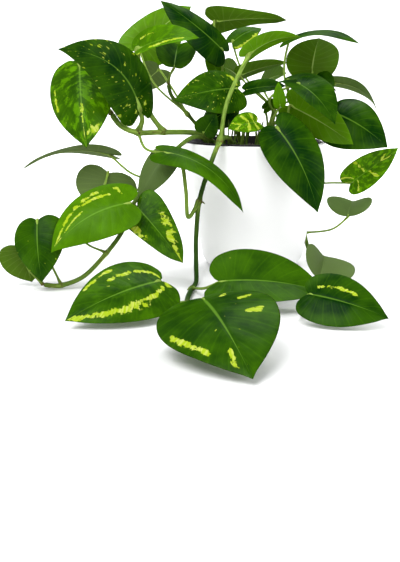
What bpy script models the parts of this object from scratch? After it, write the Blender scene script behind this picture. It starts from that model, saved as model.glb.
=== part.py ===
"""Potted pothos: a cover pot, a nursery pot with soil, eight stems and forty-five leaves.

The origin is the centre of the pot's base, +Z is up and the long front vine runs towards -Y.
Places and sizes below are in millimetres; MM turns them into metres.
"""

from collections import namedtuple

import bmesh
import bpy
import numpy as np

MM = 0.001
GAP = 0.3

POT_HEIGHT = 120
POT_RIM_RADIUS = 69
POT_FOOT_RADIUS = 50
POT_CORNER = 15
POT_WALL = 3
POT_RIM_ROUND = 0.8
POT_STEPS = 48
NURSERY_FLOOR = POT_WALL + GAP
NURSERY_TOP = POT_HEIGHT + 1.5
NURSERY_WALL = 1.2
NURSERY_FOOT_RADIUS = 41
NURSERY_TOP_RADIUS = 63
NURSERY_CORNER = 5
NURSERY_LIP = 1.4
NURSERY_LIP_HEIGHT = 3
NURSERY_LIP_SLOPE = 1
NURSERY_STEPS = 40
SOIL_EDGE_HEIGHT = 112
SOIL_CROWN_HEIGHT = 115
SOIL_SHOULDER_SHARE = 0.6
SOIL_SHOULDER_DROP = 1

BLADE_THICKNESS = 0.8
STALK_RADIUS = 1.1
BLADE_ROWS = 8
BLADE_COLUMNS = 5
STEM_RESOLUTION = 2
STALK_RESOLUTION = 1
STALK_STEPS = 5
SEAT = BLADE_THICKNESS / 2 + STALK_RADIUS + GAP

# Half the outline of a leaf, as (share of its length, share of its half width), from the
# notch at the stalk round the lobe to the tip.
HALF_OUTLINE = (
    (0.00, 0.00),
    (-0.06, 0.14),
    (-0.11, 0.42),
    (-0.06, 0.76),
    (0.10, 0.96),
    (0.30, 1.00),
    (0.50, 0.90),
    (0.68, 0.68),
    (0.84, 0.38),
    (0.95, 0.11),
    (1.00, 0.00),
)

# A stem: its radius and the points that it passes through, from the soil to its end.
STEMS = {
    "vine_front": (
        2.1,
        (
            (-20, -30, 116),
            (-26, -50, 127),
            (-34, -66, 124),
            (-43, -68, 102),
            (-52, -68, 72),
            (-55, -69, 40),
            (-55, -74, 14),
            (-55, -92, 3),
            (-59, -122, 3),
            (-62, -162, 3),
            (-59, -208, 3),
            (-54, -258, 5),
        ),
    ),
    "vine_upper_left": (
        2.5,
        (
            (-34, -12, 116),
            (-52, -28, 129),
            (-85, -36, 131),
            (-108, -42, 131),
            (-123, -44, 137),
            (-132, -43, 148),
        ),
    ),
    "vine_lower_left": (
        2.0,
        (
            (-42, -24, 116),
            (-50, -34, 126),
            (-62, -44, 125),
            (-80, -56, 110),
            (-97, -64, 90),
            (-112, -78, 68),
            (-120, -92, 48),
            (-133, -102, 31),
            (-152, -108, 12),
            (-172, -110, 4),
            (-188, -108, 4),
        ),
    ),
    "vine_right": (
        2.0,
        (
            (30, 22, 116),
            (48, 40, 127),
            (60, 48, 123),
            (62, 42, 100),
            (58, 35, 75),
            (55, 31, 50),
            (55, 28, 26),
            (60, 14, 7),
            (69, -15, 3),
            (73, -48, 3),
            (68, -90, 3),
            (54, -135, 3),
            (38, -172, 3),
            (26, -204, 5),
        ),
    ),
    "stem_back_left": (
        1.8,
        (
            (-36, 12, 116),
            (-50, 12, 130),
            (-64, 8, 146),
            (-78, 4, 162),
            (-82, 6, 174),
        ),
    ),
    "stem_middle": (
        1.8,
        ((-12, 4, 116), (-18, 0, 136), (-26, -4, 154)),
    ),
    "stem_right": (
        1.8,
        ((24, -6, 116), (30, -12, 132), (37, -14, 148)),
    ),
    "stem_back_right": (
        1.8,
        ((16, 24, 116), (18, 28, 134), (22, 32, 150)),
    ),
}

# One leaf: its stem, the points of its stalk up to the blade, the notch where the stalk meets
# the blade, the tip, the width, the way its upper side faces, how far the midrib bows out to
# that side and how far it sways sideways, and two angles in degrees: the fold along the
# midrib and the curl to each edge.
Leaf = namedtuple("Leaf", "stem route notch tip width face bow sway fold curl")
LEAVES = (
    Leaf("vine_upper_left", ((-132, -43, 148), (-148, -30, 172)), (-161, -30, 193),
         (-152, -70, 119), 66, (-0.1, -1, 0.1), 5, 0, -8, -14),
    Leaf("vine_upper_left", ((-108, -42, 131), (-104, -43, 142)), (-105, -58, 152),
         (-171, -92, 203), 48, (0, -1, 0.2), 8, 16, -9, -5),
    Leaf("stem_back_left", ((-64, 8, 146), (-96, 24, 174)), (-112, 56, 207),
         (-60, 75, 250), 58, (0.2, 0.9, -0.3), 6, 6, 8, 8),
    Leaf("stem_middle", ((-26, -4, 154), (-30, 3, 182)), (-30, -12, 204),
         (-88, -20, 248), 40, (0.4, -0.9, 0.6), 8, -4, -8, -12),
    Leaf("vine_upper_left", ((-85, -36, 131), (-98, -36, 150), (-104, -33, 176)), (-109, -28, 204),
         (-52, -52, 214), 34, (0, -0.7, 0.7), 6, 0, 12, 6),
    Leaf("stem_back_left", ((-82, 6, 174), (-80, 4, 182)), (-76, 2, 190),
         (-73, 50, 212), 48, (0.1, -0.4, 0.9), 4, 0, 36, 0),
    Leaf("stem_back_left", ((-64, 8, 146), (-78, 32, 168)), (-92, 51, 188),
         (-115, 61, 164), 34, (-0.3, 0.9, 0.4), 4, 0, 6, 0),
    Leaf("stem_middle", ((-18, 0, 136), (-32, 16, 190)), (-38, 24, 232),
         (31, 16, 233), 50, (0, 0.75, 0.65), 4, 0, 6, 4),
    Leaf("stem_back_right", ((22, 32, 150), (-6, 50, 180)), (-19, 50, 214),
         (11, 64, 228), 26, (0, -0.6, 0.8), 4, 0, -8, 0),
    Leaf("vine_front", ((-34, -66, 124), (-27, -58, 160)), (-9, -40, 199),
         (38, -45, 215), 25, (0, 0.7, 0.7), 6, 2, 10, 4),
    Leaf("stem_right", ((37, -14, 148), (28, 0, 184)), (32, -5, 216),
         (94, -30, 209), 50, (0, -0.3, 1), 9, 0, -10, 0),
    Leaf("stem_back_right", ((22, 32, 150), (48, 22, 165)), (58, 34, 184),
         (60, 0, 216), 52, (0, 0.75, 0.65), 5, 0, 4, 4),
    Leaf("stem_back_right", ((22, 32, 150), (0, 26, 168)), (-13, 22, 182),
         (35, 34, 194), 32, (0, 0.7, 0.7), 3, 0, 8, 4),
    Leaf("stem_back_right", ((22, 32, 150), (14, 46, 164)), (10, 54, 175),
         (38, 80, 184), 36, (0, 0.75, 0.65), 2, 0, 4, 6),
    Leaf("stem_right", ((37, -14, 148), (32, -16, 164)), (29, -20, 178),
         (72, -42, 168), 34, (0, -0.3, 1), 4, 0, 4, 0),
    Leaf("stem_back_right", ((18, 28, 134), (60, 42, 158)), (84, 44, 175),
         (122, 18, 146), 32, (0.45, 0.35, 0.8), 9, 0, 4, 0),
    Leaf("stem_right", ((30, -12, 132), (12, -34, 160)), (35, -50, 175),
         (66, -80, 140), 38, (0.5, -0.9, 0.4), 6, 0, 8, 4),
    Leaf("stem_back_right", ((18, 28, 134), (55, 12, 145)), (74, -3, 148),
         (124, -25, 116), 62, (0.2, -0.9, 0.5), 6, 0, -6, -8),
    Leaf("stem_right", ((24, -6, 116), (16, -50, 133)), (15, -78, 138),
         (50, -102, 66), 47, (-0.1, -1, 0.1), 6, -5, -12, -4),
    Leaf("vine_right", ((58, 35, 75), (78, 18, 78)), (95, 0, 80),
         (137, -12, 115), 31, (0.4, -1, 0.5), 4, 0, 10, 4),
    Leaf("vine_right", ((55, 28, 26), (80, 14, 32)), (94, 5, 47),
         (106, 48, 56), 50, (0, -0.1, 1), 2, 0, 38, -10),
    Leaf("vine_right", ((68, -90, 3), (60, -105, 6)), (52, -112, 11),
         (60, -78, 24), 56, (0.46, 0, 0.89), 2, 0, 40, -6),
    Leaf("vine_right", ((26, -204, 5), (25, -210, 12)), (30, -214, 22),
         (86, -236, 9), 46, (-0.1, -0.7, 0.7), 4, 0, -4, -4),
    Leaf("vine_front", ((-58, -116, 3), (-48, -146, 10)), (-36, -164, 20),
         (48, -176, 14), 64, (0, -0.55, 0.85), 6, 0, 6, 4),
    Leaf("vine_front", ((-62, -168, 3), (-72, -178, 8)), (-82, -192, 27),
         (-150, -236, 7), 62, (-0.1, -0.68, 0.74), 6, 0, -4, -6),
    Leaf("vine_front", ((-54, -258, 5), (-52, -262, 18)), (-50, -270, 33),
         (-20, -356, 5), 82, (-0.1, -0.45, 0.9), 8, 0, -4, -6),
    Leaf("vine_upper_left", ((-108, -42, 131), (-100, -62, 118)), (-82, -86, 117),
         (-14, -100, 66), 42, (0.5, -0.6, 0.8), 11, -5, -8, 0),
    Leaf("vine_front", ((-52, -68, 72), (-62, -74, 58), (-64, -77, 82), (-68, -73, 106)), (-80, -73, 116),
         (-106, -82, 75), 32, (-0.4, -0.9, 0.2), 3, 0, -10, -10),
    Leaf("vine_lower_left", ((-97, -64, 90), (-116, -50, 96)), (-134, -40, 111),
         (-212, -60, 99), 40, (0, 0.35, 1), 10, 0, 4, 0),
    Leaf("vine_lower_left", ((-97, -64, 90), (-120, -60, 74), (-137, -56, 80)), (-136, -42, 94),
         (-148, -60, 65), 60, (0.15, 1, -0.2), 3, 0, 16, -4),
    Leaf("vine_lower_left", ((-133, -102, 31), (-152, -101, 42), (-146, -100, 66)), (-112, -110, 76),
         (-177, -127, 36), 52, (-0.2, -1, 0.6), 5, 7, -6, -6),
    Leaf("vine_lower_left", ((-112, -78, 68), (-110, -86, 71)), (-106, -99, 71),
         (-66, -116, 25), 50, (0.1, -1, 0.5), 4, 0, 6, 0),
    Leaf("vine_lower_left", ((-172, -110, 4), (-186, -98, 30)), (-191, -108, 60),
         (-186, -124, 10), 48, (-0.2, -1, 0.1), 4, 0, -6, -10),
    Leaf("vine_lower_left", ((-188, -108, 4), (-201, -106, 18)), (-209, -98, 36),
         (-199, -102, 5), 46, (-0.2, 0.9, 0.3), 2, 0, 6, 6),
    Leaf("stem_middle", ((-26, -4, 154), (-20, -20, 164)), (-17, -30, 170),
         (-75, -62, 160), 44, (-0.1, -1, 0.4), 6, 0, -4, -4),
    Leaf("stem_middle", ((-12, 4, 116), (-16, -10, 140)), (-22, -18, 151),
         (-52, -26, 133), 28, (-0.2, -1, 0.3), 3, 0, -4, -4),
    Leaf("stem_right", ((24, -6, 116), (8, -34, 134)), (0, -46, 141),
         (-27, -62, 135), 22, (0.1, -0.9, 0.6), 2, 0, 4, 0),
    Leaf("stem_middle", ((-18, 0, 136), (-12, 4, 158)), (-8, 4, 168),
         (30, -6, 172), 24, (0, -0.6, 0.8), 2, 0, 6, 0),
    Leaf("stem_back_right", ((16, 24, 116), (14, 18, 140)), (11, 15, 150),
         (29, 10, 161), 12, (0, -0.8, 0.6), 1, 0, 6, 0),
    Leaf("stem_right", ((24, -6, 116), (16, -34, 140)), (20, -50, 155),
         (18, -53, 176), 12, (-0.2, -1, 0.1), 1, 0, 8, 0),
    Leaf("stem_middle", ((-12, 4, 116), (-36, -30, 128)), (-48, -46, 131),
         (-37, -54, 149), 22, (-0.2, -1, -0.3), 2, 0, 4, 0),
    Leaf("stem_back_left", ((-50, 12, 130), (-40, 10, 165)), (-34, 6, 182),
         (-46, 10, 208), 16, (0, -1, 0.2), 2, 0, 6, 0),
    Leaf("stem_back_left", ((-36, 12, 116), (-20, 32, 160)), (-14, 40, 182),
         (-32, 62, 192), 30, (0, 0.8, 0.5), 2, 0, 4, 0),
    Leaf("stem_right", ((24, -6, 116), (27, -40, 136)), (31, -34, 155),
         (87, -53, 121), 45, (0.1, 0.8, 0.5), 4, 0, 6, 4),
    Leaf("stem_back_right", ((22, 32, 150), (42, 16, 170)), (59, 10, 181),
         (66, -2, 153), 32, (0, -0.9, 0.4), 3, 0, 4, 4),
)

COLOURS = {
    "white": ((0.86, 0.86, 0.85), 0.4),
    "black": ((0.02, 0.02, 0.02), 0.5),
    "soil": ((0.045, 0.03, 0.02), 0.95),
    "stem": ((0.12, 0.22, 0.06), 0.5),
    "leaf": ((0.06, 0.22, 0.02), 0.3),
}


def clear_scene():
    for thing in list(bpy.data.objects):
        bpy.data.objects.remove(thing)


def make_collection(name):
    collection = bpy.data.collections.new(name)
    bpy.context.scene.collection.children.link(collection)
    return collection


def make_material(name):
    colour, roughness = COLOURS[name]
    material = bpy.data.materials.new(name)
    material.use_nodes = True
    shader = material.node_tree.nodes["Principled BSDF"]
    shader.inputs["Base Color"].default_value = (*colour, 1)
    shader.inputs["Roughness"].default_value = roughness
    shader.inputs["Metallic"].default_value = 0
    return material


def unit(vector):
    vector = np.asarray(vector, float)
    return vector / np.linalg.norm(vector, axis=-1, keepdims=True)


def smooth_path(points, count):
    """A Catmull-Rom curve through the points, read at count even steps of its parameter."""
    points = np.asarray(points, float)
    ends = (2 * points[0] - points[1], 2 * points[-1] - points[-2])
    padded = np.vstack((ends[0], points, ends[1]))
    place = np.linspace(0, len(points) - 1, count)
    index = np.minimum(place.astype(int), len(points) - 2)
    t = (place - index)[:, None]
    a, b, c, d = (padded[index + step] for step in range(4))
    return 0.5 * (2 * b + (c - a) * t + (2 * a - 5 * b + 4 * c - d) * t**2 + (3 * b - a - 3 * c + d) * t**3)


def link(name, data, collection, material):
    thing = bpy.data.objects.new(name, data)
    data.materials.append(material)
    collection.objects.link(thing)
    return thing


def turned(name, profile, steps, collection, material):
    """A body of revolution. The profile is (radius, height) and runs down its outer side."""
    mesh = bpy.data.meshes.new(name)
    points = [(radius * MM, 0, height * MM) for radius, height in profile]
    mesh.from_pydata(points, [(i, i + 1) for i in range(len(points) - 1)], [])
    thing = link(name, mesh, collection, material)
    screw = thing.modifiers.new("turn", "SCREW")
    screw.steps = steps
    screw.render_steps = steps
    screw.use_merge_vertices = True
    screw.merge_threshold = 1e-5
    return thing


def arc(centre, radius, start, end, count):
    angles = np.radians(np.linspace(start, end, count))
    return [(centre[0] + radius * np.cos(a), centre[1] + radius * np.sin(a)) for a in angles]


def make_pot(collection, material):
    """Outer wall, round lower corner and flat foot, then the inside up to the rim."""
    corner = arc((POT_FOOT_RADIUS - POT_CORNER, POT_CORNER), POT_CORNER, 0, -90, 6)
    inner_foot = POT_FOOT_RADIUS - POT_WALL
    profile = [
        (POT_RIM_RADIUS - POT_WALL, POT_HEIGHT),
        (POT_RIM_RADIUS - POT_RIM_ROUND, POT_HEIGHT),
        (POT_RIM_RADIUS, POT_HEIGHT - POT_RIM_ROUND),
        *corner,
        (0, 0),
        (0, POT_WALL),
        (inner_foot - POT_CORNER / 2, POT_WALL),
        (inner_foot, POT_WALL + POT_CORNER / 2),
        (POT_RIM_RADIUS - POT_WALL, POT_HEIGHT),
    ]
    return turned("cover_pot", profile, POT_STEPS, collection, material)


def make_nursery_pot(collection, material):
    """A thin tapered pot with an open top and a small lip."""
    foot, top = NURSERY_FOOT_RADIUS, NURSERY_TOP_RADIUS
    wall = NURSERY_WALL
    profile = [
        (top - wall, NURSERY_TOP),
        (top + NURSERY_LIP, NURSERY_TOP),
        (top + NURSERY_LIP, NURSERY_TOP - NURSERY_LIP_HEIGHT),
        (top, NURSERY_TOP - NURSERY_LIP_HEIGHT - NURSERY_LIP_SLOPE),
        (foot, NURSERY_FLOOR + NURSERY_CORNER),
        (foot - NURSERY_CORNER, NURSERY_FLOOR),
        (0, NURSERY_FLOOR),
        (0, NURSERY_FLOOR + wall),
        (foot - NURSERY_CORNER - wall, NURSERY_FLOOR + wall),
        (foot - wall, NURSERY_FLOOR + NURSERY_CORNER),
        (top - wall, NURSERY_TOP),
    ]
    return turned("nursery_pot", profile, NURSERY_STEPS, collection, material)


def make_soil(collection, material):
    """Soil that fills the nursery pot and rises a little to its middle."""
    inset = NURSERY_WALL + 2 * GAP
    foot = NURSERY_FOOT_RADIUS - inset
    shoulder = NURSERY_FLOOR + NURSERY_CORNER
    rise = (NURSERY_TOP_RADIUS - NURSERY_FOOT_RADIUS) / (NURSERY_TOP - shoulder)
    edge = foot + rise * (SOIL_EDGE_HEIGHT - shoulder)
    low = NURSERY_FLOOR + NURSERY_WALL + GAP
    profile = [
        (0, SOIL_CROWN_HEIGHT),
        (edge * SOIL_SHOULDER_SHARE, SOIL_CROWN_HEIGHT - SOIL_SHOULDER_DROP),
        (edge, SOIL_EDGE_HEIGHT),
        (foot, shoulder),
        (foot - NURSERY_CORNER, low),
        (0, low),
    ]
    return turned("potting_soil", profile, NURSERY_STEPS, collection, material)


def tube(name, points, radius, resolution, collection, material):
    """A round rod with closed ends along the points, as a welded mesh."""
    curve = bpy.data.curves.new(name, "CURVE")
    curve.dimensions = "3D"
    curve.bevel_depth = radius * MM
    curve.bevel_resolution = resolution
    curve.use_fill_caps = True
    spline = curve.splines.new("POLY")
    spline.points.add(len(points) - 1)
    for point, place in zip(spline.points, points):
        point.co = (*(place * MM), 1)
    rod = link(name + "_curve", curve, collection, material)
    graph = bpy.context.evaluated_depsgraph_get()
    mesh = bpy.data.meshes.new_from_object(rod.evaluated_get(graph))
    bpy.data.objects.remove(rod)
    shell = bmesh.new()
    shell.from_mesh(mesh)
    bmesh.ops.remove_doubles(shell, verts=shell.verts, dist=1e-6)
    shell.to_mesh(mesh)
    shell.free()
    thing = bpy.data.objects.new(name, mesh)
    collection.objects.link(thing)
    return thing


def leaf_axes(leaf):
    """The notch, the reach from notch to tip, and the unit vectors of the blade's face and side."""
    notch = np.array(leaf.notch, float)
    reach = np.array(leaf.tip, float) - notch
    along = unit(reach)
    face = np.array(leaf.face, float)
    face = unit(face - along * (face @ along))
    return notch, reach, face, np.cross(along, face)


def stalk_route(leaf):
    """The stalk's own points, then the seat just under the notch."""
    notch, _, face, _ = leaf_axes(leaf)
    return [*leaf.route, tuple(notch - SEAT * face)]


def blade_points(leaf, rows, columns):
    """Each row runs from a point of the midrib, at the row's square, out to the outline.

    Lengthwise the blade follows notch + reach s + (face bow + side sway) 4 s (1 - s). Sideways
    it leaves the midrib at the fold angle and turns on by the curl angle towards the edge.
    """
    notch, reach, face, side = leaf_axes(leaf)
    u = np.linspace(0, 1, rows)
    v = np.linspace(-1, 1, columns)[None, :]
    edge = smooth_path(HALF_OUTLINE, rows)
    share = edge[:, :1] + (u[:, None] ** 2 - edge[:, :1]) * (1 - np.abs(v) ** 1.3)
    across = edge[:, 1:] * v * leaf.width / 2
    bend = 4 * (leaf.bow * face + leaf.sway * side)
    spine = notch + share[..., None] * reach + (share * (1 - share))[..., None] * bend
    ahead = unit(reach + (1 - 2 * share)[..., None] * bend)
    upward = unit(np.cross(side, ahead))
    outward = np.cross(ahead, upward)
    angle = np.radians(leaf.fold + leaf.curl * np.abs(v))
    out = (across * np.cos(angle))[..., None] * outward
    lift = (np.abs(across) * np.sin(angle))[..., None] * upward
    return spine + out + lift


def grid_faces(rows, columns):
    """Four-sided faces over the grid, with one point for the whole first and last row."""
    faces = []
    for row in range(rows - 1):
        for column in range(columns - 1):
            here = row * columns + column
            faces.append((here, here + 1, here + columns + 1, here + columns))
    return faces


def make_blade(name, leaf, collection, material):
    points = blade_points(leaf, BLADE_ROWS, BLADE_COLUMNS) * MM
    mesh = bpy.data.meshes.new(name)
    mesh.from_pydata(points.reshape(-1, 3).tolist(), [], grid_faces(BLADE_ROWS, BLADE_COLUMNS))
    sheet = bmesh.new()
    sheet.from_mesh(mesh)
    bmesh.ops.remove_doubles(sheet, verts=sheet.verts, dist=1e-6)
    sheet.to_mesh(mesh)
    sheet.free()
    thing = link(name, mesh, collection, material)
    solidify = thing.modifiers.new("thickness", "SOLIDIFY")
    solidify.thickness = BLADE_THICKNESS * MM
    solidify.offset = 0
    return thing


def unite(thing, other):
    """Joins other into thing for good, and removes it."""
    union = thing.modifiers.new("join", "BOOLEAN")
    union.operation = "UNION"
    union.solver = "EXACT"
    union.object = other
    graph = bpy.context.evaluated_depsgraph_get()
    thing.data = bpy.data.meshes.new_from_object(thing.evaluated_get(graph))
    thing.modifiers.clear()
    bpy.data.objects.remove(other)


def make_stem(name, collection, material):
    """A stem with the stalks of all its leaves."""
    radius, route = STEMS[name]
    path = smooth_path(route, 2 * len(route) - 1)
    stem = tube(name, path, radius, STEM_RESOLUTION, collection, material)
    for number, leaf in enumerate(LEAVES, 1):
        if leaf.stem != name:
            continue
        stalk = smooth_path(stalk_route(leaf), STALK_STEPS)
        rod = tube(f"stalk_{number}", stalk, STALK_RADIUS, STALK_RESOLUTION, collection, material)
        unite(stem, rod)
    stem.data.name = name
    if not stem.data.materials:
        stem.data.materials.append(material)
    return stem


def main():
    clear_scene()
    plant = make_collection("potted_pothos")
    materials = {name: make_material(name) for name in COLOURS}
    make_pot(plant, materials["white"])
    make_nursery_pot(plant, materials["black"])
    make_soil(plant, materials["soil"])
    for name in STEMS:
        make_stem(name, plant, materials["stem"])
    for number, leaf in enumerate(LEAVES, 1):
        make_blade(f"leaf_{number:02d}", leaf, plant, materials["leaf"])


main()
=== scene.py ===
from collections import namedtuple

import bmesh
import bpy
import numpy as np
from bpy.props import FloatProperty, FloatVectorProperty, IntProperty, PointerProperty
from bpy.types import Operator, Panel, PropertyGroup
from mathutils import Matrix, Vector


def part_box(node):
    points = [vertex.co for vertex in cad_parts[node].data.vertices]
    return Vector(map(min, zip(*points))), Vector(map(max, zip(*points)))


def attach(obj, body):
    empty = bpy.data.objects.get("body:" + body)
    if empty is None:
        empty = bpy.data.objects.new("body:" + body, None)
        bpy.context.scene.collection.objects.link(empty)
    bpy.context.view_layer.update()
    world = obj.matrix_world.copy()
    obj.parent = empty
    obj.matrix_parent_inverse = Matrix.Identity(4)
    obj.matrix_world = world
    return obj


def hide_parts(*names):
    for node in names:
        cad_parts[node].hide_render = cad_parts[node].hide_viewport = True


bl_info = {
    "name": "Potted pothos",
    "version": (1, 0, 0),
    "blender": (4, 5, 0),
    "location": "3D View > Sidebar > Pothos",
    "description": "Finishes a trailing pothos in its cover pot: leaves, stems, soil, pots and stage",
    "category": "Object",
}

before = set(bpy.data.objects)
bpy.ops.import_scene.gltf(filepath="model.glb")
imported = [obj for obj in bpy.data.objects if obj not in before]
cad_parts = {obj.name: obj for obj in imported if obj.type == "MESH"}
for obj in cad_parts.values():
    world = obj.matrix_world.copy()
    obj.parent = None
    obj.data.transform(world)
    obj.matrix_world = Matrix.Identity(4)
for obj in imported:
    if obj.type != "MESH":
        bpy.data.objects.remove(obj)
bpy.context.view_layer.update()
POT_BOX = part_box("cover_pot")

# Sizes are in millimetres up to the floor's, and MM turns them into metres.
MM = 0.001

POT_FOOT = 50
POT_CORNER = 15
POT_WALL = 3
POT_LIP_DEPTH = 6
POT_LIP_SLOPE = 0.9
POT_LIP_ROUND = 1.1
POT_SIDES = 160

NURSERY_FOOT = 41
NURSERY_TOP = 63
NURSERY_WALL = 1.2
NURSERY_HIGH = 121.5
NURSERY_LOW = 3.3
NURSERY_CORNER = 5
NURSERY_LIP = 1.4
NURSERY_LIP_HEIGHT = 3
NURSERY_ROUND = 1.2
NURSERY_SIDES = 128

SOIL_SIDES = 150
SOIL_DOME = 3
SOIL_FOOT = ((39.3, 8.5), (34, 5), (0, 5))

# A stalk ends SEAT behind the middle of its blade. A vine's pale crown skin fades in CROWN_REACH.
STALK_RADIUS = 1.1
SEAT = 1.8
CROWN_REACH = 45
# A blade of the USUAL_LENGTH has the full rise and waves. Its fold is rounded off within CREASE
# of the midrib, which is RIB_DIP deep on the upper side and stands out RIB_RISE on the lower.
BLADE_ROWS = 97
BLADE_COLUMNS = 41
USUAL_LENGTH = 80
RIB_WIDTH = 1.0
RIB_DIP = 0.35
RIB_RISE = 0.75
CREASE = 1.5

# The stage, in metres and degrees.
FLOOR_FLAT = 2.2
FLOOR_SWEEP = 0.9
PLANT = np.array((-0.03, -0.05, 0.12))
WALL = np.array((0.0, 3.0, 0.4))
CAMERA_PLACE = (-0.0515, -0.85, 0.18)
CAMERA_DIP = 13.1
CAMERA_LENS = 78.75
CAMERA_SENSOR = 36

# Half the outline of a leaf, as (share of its length, share of its half width), from the
# notch at the stalk round the lobe to the tip.
HALF_OUTLINE = (
    (0.00, 0.00), (-0.06, 0.14), (-0.11, 0.42), (-0.06, 0.76), (0.10, 0.96), (0.30, 1.00),
    (0.50, 0.90), (0.68, 0.68), (0.84, 0.38), (0.95, 0.11), (1.00, 0.00),
)

# A stem: its radius and the points that it passes through, from the soil to its end.
STEMS = {
    "vine_front": (2.1, (
        (-20, -30, 116), (-26, -50, 127), (-34, -66, 124), (-43, -68, 102), (-52, -68, 72),
        (-55, -69, 40), (-55, -74, 14), (-55, -92, 3), (-59, -122, 3), (-62, -162, 3),
        (-59, -208, 3), (-54, -258, 5),
    )),
    "vine_upper_left": (2.5, (
        (-34, -12, 116), (-52, -28, 129), (-85, -36, 131), (-108, -42, 131), (-123, -44, 137),
        (-132, -43, 148),
    )),
    "vine_lower_left": (2.0, (
        (-42, -24, 116), (-50, -34, 126), (-62, -44, 125), (-80, -56, 110), (-97, -64, 90),
        (-112, -78, 68), (-120, -92, 48), (-133, -102, 31), (-152, -108, 12), (-172, -110, 4),
        (-188, -108, 4),
    )),
    "vine_right": (2.0, (
        (30, 22, 116), (48, 40, 127), (60, 48, 123), (62, 42, 100), (58, 35, 75),
        (55, 31, 50), (55, 28, 26), (60, 14, 7), (69, -15, 3), (73, -48, 3),
        (68, -90, 3), (54, -135, 3), (38, -172, 3), (26, -204, 5),
    )),
    "stem_back_left": (1.8, (
        (-36, 12, 116), (-50, 12, 130), (-64, 8, 146), (-78, 4, 162), (-82, 6, 174),
    )),
    "stem_middle": (1.8, (
        (-12, 4, 116), (-18, 0, 136), (-26, -4, 154),
    )),
    "stem_right": (1.8, (
        (24, -6, 116), (30, -12, 132), (37, -14, 148),
    )),
    "stem_back_right": (1.8, (
        (16, 24, 116), (18, 28, 134), (22, 32, 150),
    )),
}

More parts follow.
